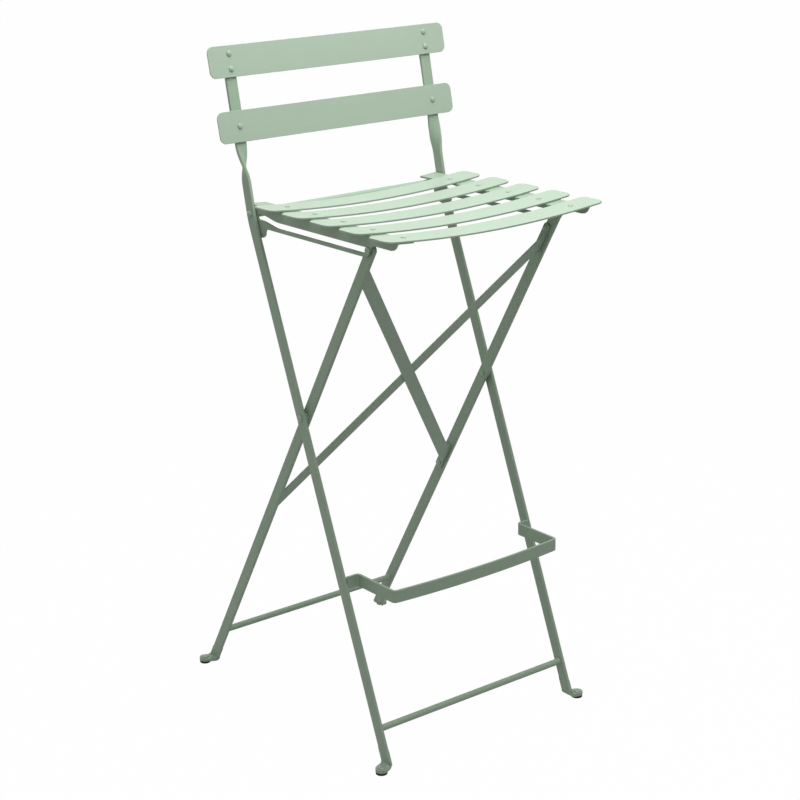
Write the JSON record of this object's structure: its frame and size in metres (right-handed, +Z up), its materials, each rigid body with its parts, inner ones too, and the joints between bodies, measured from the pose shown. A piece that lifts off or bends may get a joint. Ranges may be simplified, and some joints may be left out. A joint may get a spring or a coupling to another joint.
{
  "type": "folding bar stool",
  "caption": "Tall folding metal stool with a slatted seat, a slatted back, crossing flat-bar legs, a footrest and rubber glides.",
  "frame": {"origin": "on the floor, under the middle of the open stool's bounding box", "axes": "+Z up, +Y towards the back of the stool, +X to the right of someone facing its front"},
  "size_m": [0.427, 0.5254, 1.0013],
  "materials": {
    "frame_paint": "fine grained sage green powder coat",
    "slat_paint": "fine grained sage green powder coat",
    "fastener_paint": "painted over with the frame",
    "foot_rivet_steel": "dull grey green rivet head",
    "glide_rubber": "black, matt"
  },
  "bodies": {
    "long_frame": {"long_leg_right": "frame_paint", "long_leg_left": "frame_paint", "top_back_slat": "slat_paint", "low_back_slat": "slat_paint", "back_rivet_top_upper_left": "fastener_paint", "back_rivet_top_upper_right": "fastener_paint", "back_rivet_top_lower_left": "fastener_paint", "back_rivet_top_lower_right": "fastener_paint", "back_rivet_low_left": "fastener_paint", "back_rivet_low_right": "fastener_paint", "footrest": "frame_paint", "front_rod": "frame_paint", "seat_pivot_rod": "fastener_paint", "front_glide_left": "glide_rubber", "front_foot_rivet_left": "foot_rivet_steel", "front_glide_right": "glide_rubber", "front_foot_rivet_right": "foot_rivet_steel", "cross_pin_left": "fastener_paint", "cross_spacer_left": "fastener_paint", "cross_pin_right": "fastener_paint", "cross_spacer_right": "fastener_paint"},
    "short_frame": {"short_leg_right": "frame_paint", "short_leg_left": "frame_paint", "brace_low_left": "frame_paint", "brace_low_right": "frame_paint", "brace_rivet_low_a_left": "fastener_paint", "brace_rivet_low_a_right": "fastener_paint", "brace_rivet_low_b_left": "fastener_paint", "brace_rivet_low_b_right": "fastener_paint", "brace_rivet_high_a_left": "fastener_paint", "brace_rivet_high_a_right": "fastener_paint", "brace_rivet_high_b_left": "fastener_paint", "brace_rivet_high_b_right": "fastener_paint", "rear_rod": "frame_paint", "rear_glide_left": "glide_rubber", "rear_foot_rivet_left": "foot_rivet_steel", "rear_glide_right": "glide_rubber", "rear_foot_rivet_right": "foot_rivet_steel", "slot_pin_left": "fastener_paint", "slot_pin_cap_left": "fastener_paint", "slot_pin_right": "fastener_paint", "slot_pin_cap_right": "fastener_paint"},
    "seat": {"seat_rail_right": "frame_paint", "seat_rail_left": "frame_paint", "seat_slat_1": "slat_paint", "seat_rivet_1_left": "fastener_paint", "seat_rivet_1_right": "fastener_paint", "seat_slat_2": "slat_paint", "seat_rivet_2_left": "fastener_paint", "seat_rivet_2_right": "fastener_paint", "seat_slat_3": "slat_paint", "seat_rivet_3_left": "fastener_paint", "seat_rivet_3_right": "fastener_paint", "seat_slat_4": "slat_paint", "seat_rivet_4_left": "fastener_paint", "seat_rivet_4_right": "fastener_paint", "seat_slat_5": "slat_paint", "seat_rivet_5_left": "fastener_paint", "seat_rivet_5_right": "fastener_paint"}
  },
  "joints": [
    {"name": "leg_fold", "type": "hinge", "parent": "long_frame", "child": "short_frame", "pos_m": [0, -0.03252, 0.4842], "axis": [-1, 0, 0], "range_deg": [0, 47.3]},
    {"name": "seat_fold", "type": "hinge", "parent": "long_frame", "child": "seat", "pos_m": [0, 0.0773, 0.7653], "axis": [-1, 0, 0], "range_deg": [0, 54.4]}
  ],
  "couplings": [
    {"joint": "seat_fold", "follows": "leg_fold", "ratio": 1.15}
  ]
}
